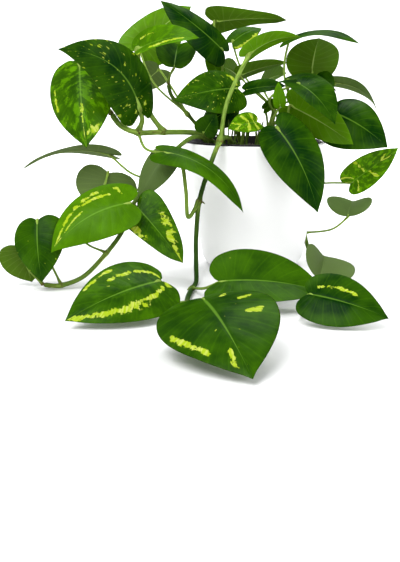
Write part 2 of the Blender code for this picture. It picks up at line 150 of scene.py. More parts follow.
# One leaf: its stem, the points of its stalk up to the blade, the notch where the stalk meets
# the blade, the tip, the width, the way its upper side faces, how far the midrib bows out to
# that side and how far it sways sideways, and two angles in degrees: the fold along the
# midrib and the curl to each edge.
Leaf = namedtuple("Leaf", "stem route notch tip width face bow sway fold curl")
LEAVES = (
    Leaf("vine_upper_left", ((-132, -43, 148), (-148, -30, 172)), (-161, -30, 193),
         (-152, -70, 119), 66, (-0.1, -1, 0.1), 5, 0, -8, -14),
    Leaf("vine_upper_left", ((-108, -42, 131), (-104, -43, 142)), (-105, -58, 152),
         (-171, -92, 203), 48, (0, -1, 0.2), 8, 16, -9, -5),
    Leaf("stem_back_left", ((-64, 8, 146), (-96, 24, 174)), (-112, 56, 207),
         (-60, 75, 250), 58, (0.2, 0.9, -0.3), 6, 6, 8, 8),
    Leaf("stem_middle", ((-26, -4, 154), (-30, 3, 182)), (-30, -12, 204),
         (-88, -20, 248), 40, (0.4, -0.9, 0.6), 8, -4, -8, -12),
    Leaf("vine_upper_left", ((-85, -36, 131), (-98, -36, 150), (-104, -33, 176)), (-109, -28, 204),
         (-52, -52, 214), 34, (0, -0.7, 0.7), 6, 0, 12, 6),
    Leaf("stem_back_left", ((-82, 6, 174), (-80, 4, 182)), (-76, 2, 190),
         (-73, 50, 212), 48, (0.1, -0.4, 0.9), 4, 0, 36, 0),
    Leaf("stem_back_left", ((-64, 8, 146), (-78, 32, 168)), (-92, 51, 188),
         (-115, 61, 164), 34, (-0.3, 0.9, 0.4), 4, 0, 6, 0),
    Leaf("stem_middle", ((-18, 0, 136), (-32, 16, 190)), (-38, 24, 232),
         (31, 16, 233), 50, (0, 0.75, 0.65), 4, 0, 6, 4),
    Leaf("stem_back_right", ((22, 32, 150), (-6, 50, 180)), (-19, 50, 214),
         (11, 64, 228), 26, (0, -0.6, 0.8), 4, 0, -8, 0),
    Leaf("vine_front", ((-34, -66, 124), (-27, -58, 160)), (-9, -40, 199),
         (38, -45, 215), 25, (0, 0.7, 0.7), 6, 2, 10, 4),
    Leaf("stem_right", ((37, -14, 148), (28, 0, 184)), (32, -5, 216),
         (94, -30, 209), 50, (0, -0.3, 1), 9, 0, -10, 0),
    Leaf("stem_back_right", ((22, 32, 150), (48, 22, 165)), (58, 34, 184),
         (60, 0, 216), 52, (0, 0.75, 0.65), 5, 0, 4, 4),
    Leaf("stem_back_right", ((22, 32, 150), (0, 26, 168)), (-13, 22, 182),
         (35, 34, 194), 32, (0, 0.7, 0.7), 3, 0, 8, 4),
    Leaf("stem_back_right", ((22, 32, 150), (14, 46, 164)), (10, 54, 175),
         (38, 80, 184), 36, (0, 0.75, 0.65), 2, 0, 4, 6),
    Leaf("stem_right", ((37, -14, 148), (32, -16, 164)), (29, -20, 178),
         (72, -42, 168), 34, (0, -0.3, 1), 4, 0, 4, 0),
    Leaf("stem_back_right", ((18, 28, 134), (60, 42, 158)), (84, 44, 175),
         (122, 18, 146), 32, (0.45, 0.35, 0.8), 9, 0, 4, 0),
    Leaf("stem_right", ((30, -12, 132), (12, -34, 160)), (35, -50, 175),
         (66, -80, 140), 38, (0.5, -0.9, 0.4), 6, 0, 8, 4),
    Leaf("stem_back_right", ((18, 28, 134), (55, 12, 145)), (74, -3, 148),
         (124, -25, 116), 62, (0.2, -0.9, 0.5), 6, 0, -6, -8),
    Leaf("stem_right", ((24, -6, 116), (16, -50, 133)), (15, -78, 138),
         (50, -102, 66), 47, (-0.1, -1, 0.1), 6, -5, -12, -4),
    Leaf("vine_right", ((58, 35, 75), (78, 18, 78)), (95, 0, 80),
         (137, -12, 115), 31, (0.4, -1, 0.5), 4, 0, 10, 4),
    Leaf("vine_right", ((55, 28, 26), (80, 14, 32)), (94, 5, 47),
         (106, 48, 56), 50, (0, -0.1, 1), 2, 0, 38, -10),
    Leaf("vine_right", ((68, -90, 3), (60, -105, 6)), (52, -112, 11),
         (60, -78, 24), 56, (0.46, 0, 0.89), 2, 0, 40, -6),
    Leaf("vine_right", ((26, -204, 5), (25, -210, 12)), (30, -214, 22),
         (86, -236, 9), 46, (-0.1, -0.7, 0.7), 4, 0, -4, -4),
    Leaf("vine_front", ((-58, -116, 3), (-48, -146, 10)), (-36, -164, 20),
         (48, -176, 14), 64, (0, -0.55, 0.85), 6, 0, 6, 4),
    Leaf("vine_front", ((-62, -168, 3), (-72, -178, 8)), (-82, -192, 27),
         (-150, -236, 7), 62, (-0.1, -0.68, 0.74), 6, 0, -4, -6),
    Leaf("vine_front", ((-54, -258, 5), (-52, -262, 18)), (-50, -270, 33),
         (-20, -356, 5), 82, (-0.1, -0.45, 0.9), 8, 0, -4, -6),
    Leaf("vine_upper_left", ((-108, -42, 131), (-100, -62, 118)), (-82, -86, 117),
         (-14, -100, 66), 42, (0.5, -0.6, 0.8), 11, -5, -8, 0),
    Leaf("vine_front", ((-52, -68, 72), (-62, -74, 58), (-64, -77, 82), (-68, -73, 106)), (-80, -73, 116),
         (-106, -82, 75), 32, (-0.4, -0.9, 0.2), 3, 0, -10, -10),
    Leaf("vine_lower_left", ((-97, -64, 90), (-116, -50, 96)), (-134, -40, 111),
         (-212, -60, 99), 40, (0, 0.35, 1), 10, 0, 4, 0),
    Leaf("vine_lower_left", ((-97, -64, 90), (-120, -60, 74), (-137, -56, 80)), (-136, -42, 94),
         (-148, -60, 65), 60, (0.15, 1, -0.2), 3, 0, 16, -4),
    Leaf("vine_lower_left", ((-133, -102, 31), (-152, -101, 42), (-146, -100, 66)), (-112, -110, 76),
         (-177, -127, 36), 52, (-0.2, -1, 0.6), 5, 7, -6, -6),
    Leaf("vine_lower_left", ((-112, -78, 68), (-110, -86, 71)), (-106, -99, 71),
         (-66, -116, 25), 50, (0.1, -1, 0.5), 4, 0, 6, 0),
    Leaf("vine_lower_left", ((-172, -110, 4), (-186, -98, 30)), (-191, -108, 60),
         (-186, -124, 10), 48, (-0.2, -1, 0.1), 4, 0, -6, -10),
    Leaf("vine_lower_left", ((-188, -108, 4), (-201, -106, 18)), (-209, -98, 36),
         (-199, -102, 5), 46, (-0.2, 0.9, 0.3), 2, 0, 6, 6),
    Leaf("stem_middle", ((-26, -4, 154), (-20, -20, 164)), (-17, -30, 170),
         (-75, -62, 160), 44, (-0.1, -1, 0.4), 6, 0, -4, -4),
    Leaf("stem_middle", ((-12, 4, 116), (-16, -10, 140)), (-22, -18, 151),
         (-52, -26, 133), 28, (-0.2, -1, 0.3), 3, 0, -4, -4),
    Leaf("stem_right", ((24, -6, 116), (8, -34, 134)), (0, -46, 141),
         (-27, -62, 135), 22, (0.1, -0.9, 0.6), 2, 0, 4, 0),
    Leaf("stem_middle", ((-18, 0, 136), (-12, 4, 158)), (-8, 4, 168),
         (30, -6, 172), 24, (0, -0.6, 0.8), 2, 0, 6, 0),
    Leaf("stem_back_right", ((16, 24, 116), (14, 18, 140)), (11, 15, 150),
         (29, 10, 161), 12, (0, -0.8, 0.6), 1, 0, 6, 0),
    Leaf("stem_right", ((24, -6, 116), (16, -34, 140)), (20, -50, 155),
         (18, -53, 176), 12, (-0.2, -1, 0.1), 1, 0, 8, 0),
    Leaf("stem_middle", ((-12, 4, 116), (-36, -30, 128)), (-48, -46, 131),
         (-37, -54, 149), 22, (-0.2, -1, -0.3), 2, 0, 4, 0),
    Leaf("stem_back_left", ((-50, 12, 130), (-40, 10, 165)), (-34, 6, 182),
         (-46, 10, 208), 16, (0, -1, 0.2), 2, 0, 6, 0),
    Leaf("stem_back_left", ((-36, 12, 116), (-20, 32, 160)), (-14, 40, 182),
         (-32, 62, 192), 30, (0, 0.8, 0.5), 2, 0, 4, 0),
    Leaf("stem_right", ((24, -6, 116), (27, -40, 136)), (31, -34, 155),
         (87, -53, 121), 45, (0.1, 0.8, 0.5), 4, 0, 6, 4),
    Leaf("stem_back_right", ((22, 32, 150), (42, 16, 170)), (59, 10, 181),
         (66, -2, 153), 32, (0, -0.9, 0.4), 3, 0, 4, 4),
)


# Per leaf: how light its green is, how wavy its edge is, how far the sides draw in before the
# tip, how many pale dashes it has, how mottled it is, its yellow strokes and how much painted
# sheen it has: a greyish tint painted onto both sides in place of reflected light. A stroke runs
# from one place to another, each given as the share along the leaf and the place across from -1
# to 1, and its last number is its half width.
Looks = namedtuple(
    "Looks", "light wave taper dashes mottle strokes grey", defaults=(0.3, 1.0, 0, 0, 0, (), 0)
)
LOOKS = {
    1: Looks(0.2, 1.6, 0, 0.35, 1, (
        (0.8, 0, 1, 0, 0.05), (0.5, 0.8, 0.6, 0.85, 0.02), (0.8, -0.9, 0.88, -0.6, 0.03))),
    2: Looks(0.06, 1.2, 0, 0.85, 0, ((0.29, 0.38, 0.31, 0.46, 0.018), (0.22, -0.36, 0.23, -0.3, 0.018))),
    # Leaf 3's lightness is partly painted light: the glow of its underside lit from behind.
    3: Looks(0.62, 1.5, 0, 0, 0.2),
    4: Looks(0.02, 1.2),
    5: Looks(0.45, 1, 0, 0.2, 0.4, (
        (0.1, 0.5, 0.34, 0.9, 0.08), (0.58, 0.6, 0.85, 0.4, 0.07), (0.4, -0.6, 0.5, -0.6, 0.03))),
    6: Looks(0.1),
    7: Looks(0.3, grey=0.7),
    8: Looks(0.42, 0.5, 0.6),
    9: Looks(0.2, 0.8, 0, 0, 0, ((0.3, 0.85, 0.7, 0.85, 0.06),)),
    # Leaf 10's lightness is partly painted light: the glow of its underside lit from behind.
    10: Looks(0.75, 0.6, 0.2),
    11: Looks(0.06, 1.2, 0.45),
    12: Looks(0.4, 0.8),
    13: Looks(0.45, 1, 0.45),
    14: Looks(0.4),
    15: Looks(0.06),
    16: Looks(0.45, 1.2, 0.3, grey=0.5),
    17: Looks(0.05, 1.2, 0, 0.12),
    18: Looks(0.04, 1.2),
    19: Looks(0.05, 1.4, 0, 0.1),
    20: Looks(0.34, 0.7, 0, 0.5, 1, (
        (0.14, -0.8, 0.2, -0.1, 0.012), (0.26, -0.9, 0.36, -0.15, 0.016), (0.42, 0.1, 0.36, 0.8, 0.012),
        (0.5, -0.9, 0.6, -0.1, 0.012), (0.66, 0.1, 0.6, 0.8, 0.013), (0.82, -0.6, 0.86, 0.5, 0.018))),
    21: Looks(0.35, grey=0.7),
    22: Looks(0.35, grey=0.8),
    23: Looks(0.05, 0.7, 0, 0.06, 0, ((0.36, -0.36, 0.68, -0.54, 0.026),)),
    24: Looks(0.17, 1.2, 0, 0.05),
    25: Looks(0.14, 1, 0, 0.25, 0.2, (
        (0.3, -0.32, 0.6, -0.5, 0.03), (0.55, -0.55, 0.9, -0.8, 0.052), (0.9, -0.9, 1, -0.3, 0.04),
        (0.1, -0.9, 0.16, -0.5, 0.06), (0.12, 0.35, 0.62, 0.6, 0.026), (0.55, 0.85, 0.7, 0.9, 0.02))),
    26: Looks(0.11, 1, 0, 0.25, 0, (
        (0.55, 0.86, 0.74, 0.8, 0.024), (0.84, 0.4, 0.87, 0.8, 0.02), (0.3, -0.5, 0.34, -0.3, 0.015),
        (0.4, -0.75, 0.44, -0.5, 0.018), (0.56, -0.75, 0.6, -0.5, 0.015))),
    27: Looks(0.24, 1, 0.3, 0.08),
    28: Looks(0.25, grey=0.7),
    29: Looks(0.35, 1.2, 0.3, grey=0.9),
    30: Looks(0.35, 1.2, grey=0.9),
    31: Looks(0.46, 1, 0, 0.15, 0.1, (
        (0.5, 0.75, 0.92, 0.6, 0.028), (0.45, 0.5, 0.62, 0.58, 0.02), (0.34, 0.5, 0.38, 0.75, 0.018),
        (0.7, 0.38, 0.92, 0.35, 0.022))),
    32: Looks(0.18, 1.6, 0.3, 0.25, 0.3, (
        (0.2, 0.72, 0.5, 0.8, 0.08), (0.62, -0.65, 0.86, -0.45, 0.09), (0.92, -0.6, 1, 0, 0.06))),
    33: Looks(0.12, 1.6, 0, 0.45),
    34: Looks(0.15, 1),
    35: Looks(0.07, 1, 0, 0.8, 0.2, ((0.22, 0.4, 0.34, 0.75, 0.04),)),
    36: Looks(0.03),
    37: Looks(0.4, 0.8, 0, 0.9, 0.8, tuple((at, -0.8, at, 0.8, 0.03) for at in (0.2, 0.4, 0.6, 0.8))),
    38: Looks(0.04, 0.8),
    39: Looks(0.45, 0.4),
    40: Looks(0.6, 0.4),
    41: Looks(0.05, 0.8),
    42: Looks(0.45, 0.4),
    43: Looks(0.35, 0.8),
    # Leaf 44's lightness is raised as painted light, against the shade on its downward face.
    44: Looks(0.75, 1),
    45: Looks(0.02, 0.8),
}
# A stalk thicker than the rest, as a multiple of the usual radius.
STOUT = {1: 1.5, 2: 2, 5: 2.3, 10: 1.65, 19: 1.2, 24: 1.2, 25: 1.2, 27: 1.2, 28: 1.8, 35: 1.25}
# How pale the skin of a vine is in the crown and further on, from 0 for old dark green.
PALE = {
    "vine_front": (0.75, 0.0),
    "vine_upper_left": (0.62, 0.45),
    "vine_lower_left": (0.45, 0.36),
    "vine_right": (0.3, 0.12),
}


def tint(name, description, default):
    return FloatVectorProperty(name=name, description=description, default=default, subtype="COLOR")


def factor(name, description, default):
    return FloatProperty(name=name, description=description, default=default, subtype="FACTOR")


def measure(name, description, default):
    return FloatProperty(name=name, description=description, default=default, unit="LENGTH")


class PotSettings(PropertyGroup):
    height: measure("Height", "From foot to rim", POT_BOX[1][2])
    rim_radius: measure("Rim radius", "Outer radius", POT_BOX[1][0])
    colour: tint("Colour", "Satin white glaze", (0.89, 0.89, 0.885))
    roughness: factor("Roughness", "How matt the glaze is", 0.34)


class LeafSettings(PropertyGroup):
    thickness: measure("Thickness", "Of the blade at its midrib", 0.0008)
    veins: IntProperty(name="Veins", description="Side veins on each half", default=12)
    quilt: measure("Quilt", "Rise between two side veins", 0.00017)
    deep: tint("Deep green", "Oldest leaves", (0.0015, 0.021, 0.0004))
    light: tint("Light green", "Youngest leaves", (0.095, 0.26, 0.001))
    streak: tint("Streaks", "Yellow variegation", (0.33, 0.45, 0.012))
    shine: factor("Shine", "How strongly the wax reflects", 0.07)
    under: tint("Underside", "Olive back", (0.062, 0.115, 0.008))
    # Painted sheen: a greyish tint that stands in for the reflection of the bright surroundings.
    painted_sheen_tint: tint("Haze", "Grey bloom", (0.095, 0.135, 0.045))


class StemSettings(PropertyGroup):
    vine: tint("Vine", "Old green stem", (0.018, 0.055, 0.006))
    stalk: tint("Stalk", "Pale leaf stalk", (0.25, 0.38, 0.06))
    shoots: IntProperty(name="Shoots", description="Thin shoots in the crown", default=30)
    sheath: tint("Sheath", "Dry brown at a node", (0.10, 0.055, 0.02))


class SoilSettings(PropertyGroup):
    grains: IntProperty(name="Grains", description="Loose lumps on top", default=420)
    colour: tint("Colour", "Damp potting mix", (0.03, 0.019, 0.012))


class StageSettings(PropertyGroup):
    light_power: FloatProperty(name="Key light", description="Softbox power", default=34.0, unit="POWER")
    floor_colour: tint("Floor", "Plain pale floor", (0.9, 0.9, 0.9))


def settings(name):
    """The group of settings of that name, as the panel shows them."""
    return getattr(bpy.context.scene, "pothos_" + name)


def unit(vector):
    vector = np.asarray(vector, float)
    return vector / np.maximum(np.linalg.norm(vector, axis=-1, keepdims=True), 1e-12)


def smooth_path(points, count):
    """A Catmull-Rom curve through the points, read at count even steps of its parameter."""
    points = np.asarray(points, float)
    ends = (2 * points[0] - points[1], 2 * points[-1] - points[-2])
    padded = np.vstack((ends[0], points, ends[1]))
    place = np.linspace(0, len(points) - 1, count)
    index = np.minimum(place.astype(int), len(points) - 2)
    t = (place - index)[:, None]
    a, b, c, d = (padded[index + step] for step in range(4))
    return 0.5 * (2 * b + (c - a) * t + (2 * a - 5 * b + 4 * c - d) * t**2 + (3 * b - a - 3 * c + d) * t**3)


def even_path(points, step):
    """The smooth path again, with its points an even distance apart."""
    fine = smooth_path(points, 40 * len(points))
    run = np.concatenate(([0], np.cumsum(np.linalg.norm(np.diff(fine, axis=0), axis=1))))
    count = max(int(run[-1] / step) + 1, 6)
    even = np.linspace(0, run[-1], count)
    return np.stack([np.interp(even, run, fine[:, axis]) for axis in range(3)], axis=1), even


def bell(distance, width):
    """exp(-(distance / width)^2)"""
    return np.exp(-((distance / width) ** 2))


def ripple(points, size, seed):
    """A smooth bumpy number, about -1 to 1, at each point: 1.6 times the mean of six sine waves
    whose directions and phases come from the seed, with crests about one size apart."""
    draw = np.random.default_rng(seed)
    ways = unit(draw.normal(size=(6, 3))) * draw.uniform(0.7, 1.6, (6, 1))
    phases = draw.uniform(0, 2 * np.pi, 6)
    return np.sin(2 * np.pi * np.asarray(points) @ ways.T / size + phases).mean(axis=-1) * 1.6


def grid_quads(rows, columns, wrap):
    """The corners of every face of a grid, row by row. With wrap, the last column joins the first."""
    row = np.arange(rows - 1)[:, None]
    column = np.arange(columns if wrap else columns - 1)[None, :]
    after = (column + 1) % columns
    here = row * columns
    corners = (here + column, here + after, here + columns + after, here + columns + column)
    return np.stack(corners, -1).reshape(-1, 4)


def mesh_piece(name, points, faces, material, attributes=(), merge=True):
    """Puts the arrays into a mesh, in metres, with its number attributes and smooth faces."""
    mesh = bpy.data.meshes.new(name)
    mesh.from_pydata(points.tolist(), [], faces if isinstance(faces, list) else faces.tolist())
    for title, values in dict(attributes).items():
        values = np.asarray(values, np.float32)
        kind = "FLOAT" if values.ndim == 1 else "FLOAT_VECTOR"
        layer = mesh.attributes.new(title, kind, "POINT")
        layer.data.foreach_set("value" if kind == "FLOAT" else "vector", values.ravel())
    if merge:
        shell = bmesh.new()
        shell.from_mesh(mesh)
        bmesh.ops.remove_doubles(shell, verts=shell.verts, dist=1e-7)
        bmesh.ops.dissolve_degenerate(shell, edges=shell.edges, dist=1e-8)
        bmesh.ops.recalc_face_normals(shell, faces=shell.faces)
        shell.to_mesh(mesh)
        shell.free()
    mesh.shade_smooth()
    mesh.materials.append(material)
    piece = bpy.data.objects.new(name, mesh)
    bpy.context.scene.collection.objects.link(piece)
    return piece


def stand_for(piece, node):
    """The piece takes the node's place on the one body."""
    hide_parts(node)
    ride_along(piece)


def ride_along(piece):
    """The piece moves with the one body."""
    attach(piece, "root")


class Shader:
    """Short ways to add and join the nodes of one material."""

    def __init__(self, name):
        self.material = bpy.data.materials.new(name)
        self.material.use_nodes = True
        self.tree = self.material.node_tree
        self.surface = self.tree.nodes["Principled BSDF"]

    def add(self, kind, inputs=(), **options):
        node = self.tree.nodes.new("ShaderNode" + kind)
        for key, value in options.items():
            setattr(node, key, value)
        for key, value in dict(inputs).items():
            self.put(node.inputs[key], value)
        return node

    def put(self, socket, value):
        if isinstance(value, bpy.types.NodeSocket):
            self.tree.links.new(value, socket)
        else:
            socket.default_value = value

    def finish(self, name, value):
        self.put(self.surface.inputs[name], value)

    def attribute(self, name, kind="Fac"):
        return self.add("Attribute", attribute_name=name).outputs[kind]

    def maths(self, operation, *values, clamp=False):
        node = self.add("Math", operation=operation, use_clamp=clamp)
        for socket, value in zip(node.inputs, values):
            self.put(socket, value)
        return node.outputs[0]

    def times(self, *values, clamp=False):
        return self.maths("MULTIPLY", *values, clamp=clamp)

    def plus(self, *values, clamp=False):
        return self.maths("ADD", *values, clamp=clamp)

    def ramp(self, value, low, high, start=0.0, end=1.0):
        node = self.add("MapRange", interpolation_type="SMOOTHSTEP")
        for key, number in zip(range(5), (value, low, high, start, end)):
            self.put(node.inputs[key], number)
        return node.outputs[0]

    def mix(self, share, first, second):
        node = self.add("Mix", data_type="RGBA")
        self.put(node.inputs[0], share)
        self.put(node.inputs[6], first if isinstance(first, bpy.types.NodeSocket) else (*first, 1))
        self.put(node.inputs[7], second if isinstance(second, bpy.types.NodeSocket) else (*second, 1))
        return node.outputs[2]

    def noise(self, scale, detail, rough=0.5, at=None):
        """Noise in the piece's own space, unless it is told where to read."""
        place = at or self.add("TexCoord").outputs["Object"]
        inputs = {"Vector": place, "Scale": scale, "Detail": detail, "Roughness": rough}
        return self.add("TexNoise", inputs).outputs["Fac"]

    def bump(self, height, strength, distance):
        inputs = {"Height": height, "Strength": strength, "Distance": distance}
        return self.add("Bump", inputs).outputs["Normal"]

    def split(self, name):
        """The three numbers of a vector attribute."""
        return self.add("SeparateXYZ", {"Vector": self.attribute(name, "Vector")}).outputs


def pot_material():
    """Satin glaze: near white, with faint clouding in its sheen and the smallest unevenness."""
    look = settings("pot")
    shader = Shader("pot_glaze")
    cloud = shader.noise(35, 3)
    shader.finish("Base Color", shader.mix(cloud, look.colour, [c * 0.97 for c in look.colour]))
    low, high = look.roughness - 0.04, look.roughness + 0.05
    shader.finish("Roughness", shader.ramp(cloud, 0.3, 0.7, low, high))
    fine = shader.noise(900, 2)
    shader.finish("Normal", shader.bump(fine, 0.05, 0.0002))
    return shader.material


def nursery_material():
    """Black polypropylene with a fine mould grain and dusty patches."""
    shader = Shader("nursery_plastic")
    dust = shader.noise(120, 4)
    shader.finish("Base Color", shader.mix(dust, (0.005, 0.005, 0.005), (0.016, 0.015, 0.014)))
    shader.finish("Roughness", shader.ramp(dust, 0.3, 0.7, 0.42, 0.62))
    shader.finish("Specular IOR Level", 0.15)
    grain = shader.noise(2500, 2)
    shader.finish("Normal", shader.bump(grain, 0.2, 0.0002))
    return shader.material


def soil_material():
    """Damp peat: dark brown crumbs with a few paler fibres."""
    look = settings("soil")
    shader = Shader("potting_mix")
    crumbs = shader.noise(420, 5, 0.7)
    pale = [c * 3.2 for c in look.colour]
    shader.finish("Base Color", shader.mix(shader.ramp(crumbs, 0.45, 0.8), look.colour, pale))
    shader.finish("Roughness", shader.ramp(crumbs, 0.3, 0.7, 0.75, 0.98))
    shader.finish("Normal", shader.bump(crumbs, 0.7, 0.001))
    return shader.material


def stem_material():
    """Smooth green skin with fine lengthwise streaks: darkest on the vines, with painted shade along
    their upper side, pale on the stalks, brown and dry at a node.

    The attribute 'pale' runs from 0 on a vine to 1 on a stalk, 'brown' is 1 on dry skin, 'top'
    is 1 where the skin faces up and 'grain' is a place in a space stretched along the stem.
    """
    look = settings("stem")
    shader = Shader("stem_skin")
    fleck = shader.noise(260, 3)
    blush = shader.noise(45, 2)
    pale = shader.attribute("pale")
    skin = shader.mix(pale, look.vine, look.stalk)
    skin = shader.mix(shader.ramp(blush, 0.45, 0.75, 0.0, 0.2), skin, [c * 0.55 for c in look.stalk])
    streak = shader.noise(1.9, 3, at=shader.attribute("grain", "Vector"))
    streak = shader.ramp(streak, 0.42, 0.66, 0.0, 0.5)
    # Painted shade: the skin darkens towards the vine green along its upper side, most on the dark vines.
    painted_top_shade = shader.times(shader.ramp(shader.attribute("top"), 0.55, 0.95), 0.55)
    painted_top_shade = shader.times(painted_top_shade, shader.ramp(pale, 0.1, 0.8, 1.0, 0.2))
    skin = shader.mix(shader.maths("MAXIMUM", streak, painted_top_shade), skin, look.vine)
    dry = shader.times(shader.attribute("brown"), shader.ramp(fleck, 0.25, 0.6), clamp=True)
    skin = shader.mix(dry, skin, look.sheath)
    shader.finish("Base Color", skin)
    shader.finish("Specular IOR Level", 0.0)
    shader.finish("Coat Weight", 0.08)
    shader.finish("Coat Roughness", 0.35)
    shader.finish("Roughness", shader.ramp(fleck, 0.3, 0.7, 0.38, 0.55))
    shader.finish("Normal", shader.bump(fleck, 0.25, 0.0004))
    return shader.material


def leaf_material():
    """Waxy blade. It reads the leaf's own attributes.

    'vein_place' holds the vein's number along the midrib, the place across from -1 to 1 and the
    leaf's own number. 'marks' holds how much of a yellow stroke, of pale dashes and of mottling
    is here. 'light' and 'grey' are the leaf's own, and 'upper' is 1 on the upper side. 'grey' is
    the share of painted sheen, a greyish tint that stands in for reflected light.
    """
    look = settings("leaf")
    shader = Shader("leaf_blade")
    along, across, number = shader.split("vein_place")
    stroke, dashes, mottle = shader.split("marks")
    out = shader.maths("ABSOLUTE", across)
    upper = shader.attribute("upper")
    lane = shader.add("CombineXYZ", {"X": along, "Y": across, "Z": shader.times(number, 7.3)})

    def lane_noise(along_scale, across_scale, detail=3.0):
        scale = (along_scale, across_scale, 1.0)
        stretched = shader.add("Mapping", {"Vector": lane.outputs[0], "Scale": scale})
        return shader.noise(1.0, detail, 0.6, at=stretched.outputs[0])

    # Greens: the leaf's lightness, partly its own green and partly painted light, clouded, lighter between
    # the veins and at the edge.
    cloud = shader.noise(55, 3)
    lightness = shader.plus(shader.attribute("light"), shader.ramp(cloud, 0.3, 0.7, -0.08, 0.10))
    lightness = shader.plus(lightness, shader.ramp(out, 0.3, 1.0, 0.0, 0.07))
    speckle = shader.ramp(lane_noise(1.4, 3.0, 4.0), 0.46, 0.62, 0.0, 0.55)
    lightness = shader.plus(lightness, shader.times(speckle, mottle), clamp=True)
    green = shader.mix(lightness, look.deep, look.light)

    # Side veins are the whole numbers of 'along'; finer ones lie between them.
    side = shader.maths("ABSOLUTE", shader.maths("SINE", shader.times(along, np.pi)))
    fine = shader.maths("ABSOLUTE", shader.maths("SINE", shader.times(along, 3 * np.pi)))
    line = shader.ramp(side, 0.0, 0.35, 1.0, 0.0)
    hair = shader.ramp(fine, 0.0, 0.5, 1.0, 0.0)
    vein = shader.plus(shader.times(line, 0.06), shader.times(hair, 0.035))
    vein = shader.times(vein, shader.ramp(out, 0.0, 0.3))
    green = shader.mix(vein, green, look.light)

    # Yellow strokes are broken up by two noises: one runs along the side veins, one is even.
    both = shader.plus(lane_noise(1.8, 2.6, 3.0), shader.noise(230, 4, 0.7))
    ragged = shader.times(shader.maths("SUBTRACT", both, 1.0), 3.0)
    stroked = shader.ramp(shader.plus(stroke, ragged), 0.36, 0.62)
    stroked = shader.times(stroked, shader.ramp(stroke, 0.05, 0.30))
    bar = shader.maths("SUBTRACT", 0.80, shader.times(dashes, 0.15))
    dash = shader.maths("SUBTRACT", lane_noise(3.6, 6.0, 1.0), bar)
    dashed = shader.times(shader.ramp(dash, 0.0, 0.05), shader.ramp(dashes, 0.02, 0.1))
    streak = shader.maths("MAXIMUM", stroked, shader.times(dashed, 0.75))
    cream = shader.mix(shader.ramp(lane_noise(6.0, 2.0), 0.45, 0.65), look.streak, (0.50, 0.57, 0.10))
    green = shader.mix(shader.times(streak, 0.85), green, cream)

    # The midrib is a thin line, a little paler above and clearly paler below.
    rib = shader.ramp(out, 0.010, 0.040, 1.0, 0.0)
    top = shader.mix(shader.times(rib, 0.40), green, (0.16, 0.34, 0.03))
    # Painted sheen: the upper side takes the greyish tint as far as the leaf's sheen share says, in place
    # of reflected light.
    top = shader.mix(shader.attribute("grey"), top, look.painted_sheen_tint)
    olive = shader.times(shader.ramp(lightness, 0.2, 0.9, 0.8, 0.25), 0.85)
    back = shader.mix(olive, green, look.under)
    # Painted sheen: the underside takes the same greyish tint at 0.8 of that share.
    back = shader.mix(shader.times(shader.attribute("grey"), 0.8), back, look.painted_sheen_tint)
    back = shader.mix(shader.times(line, 0.12), back, (0.20, 0.30, 0.07))
    back = shader.mix(shader.times(rib, 0.7), back, (0.30, 0.42, 0.10))
    shader.finish("Base Color", shader.mix(upper, back, top))
    shader.finish("Specular IOR Level", 0.0)
    shader.finish("Coat Weight", look.shine)
    shader.finish("Coat Roughness", 0.3)
    wax = shader.noise(140, 3)
    gloss = shader.ramp(wax, 0.3, 0.7, 0.22, 0.32)
    matt = shader.plus(gloss, 0.22)
    rough = shader.add("Mix", {0: upper, 2: matt, 3: gloss}, data_type="FLOAT")
    shader.finish("Roughness", rough.outputs[0])
    grooves = shader.times(shader.plus(line, hair), shader.ramp(out, 0.0, 0.35))
    relief = shader.maths("SUBTRACT", shader.times(wax, 0.3), grooves)
    shader.finish("Normal", shader.bump(relief, 0.12, 0.0005))
    return shader.material


def leaf_axes(leaf):
    """The notch, the reach from notch to tip, and the unit vectors of the blade's face and side."""
    notch = np.array(leaf.notch, float)
    reach = np.array(leaf.tip, float) - notch
    along = unit(reach)
    face = np.array(leaf.face, float)
    face = unit(face - along * (face @ along))
    return notch, reach, face, np.cross(along, face)


def blade_marks(looks, u, v):
    """How much of a yellow stroke is at each point, with the shares of dashes and of mottling.
    A stroke is exp(-(d/w)^2), where d is the distance from its line and w its half width, and a
    half of the blade counts as half as wide as the blade is long."""
    place = np.stack(np.broadcast_arrays(u, v / 2), -1)
    strokes = np.zeros(place.shape[:2])
    for u_start, v_start, u_end, v_end, width in looks.strokes:
        start, end = np.array((u_start, v_start / 2)), np.array((u_end, v_end / 2))
        line = end - start
        share = np.clip((place - start) @ line / (line @ line), 0, 1)
        away = np.linalg.norm(place - start - share[..., None] * line, axis=-1)
        strokes = np.maximum(strokes, bell(away, width))
    even = np.ones_like(strokes)
    return np.stack([strokes, looks.dashes * even, looks.mottle * even], -1)


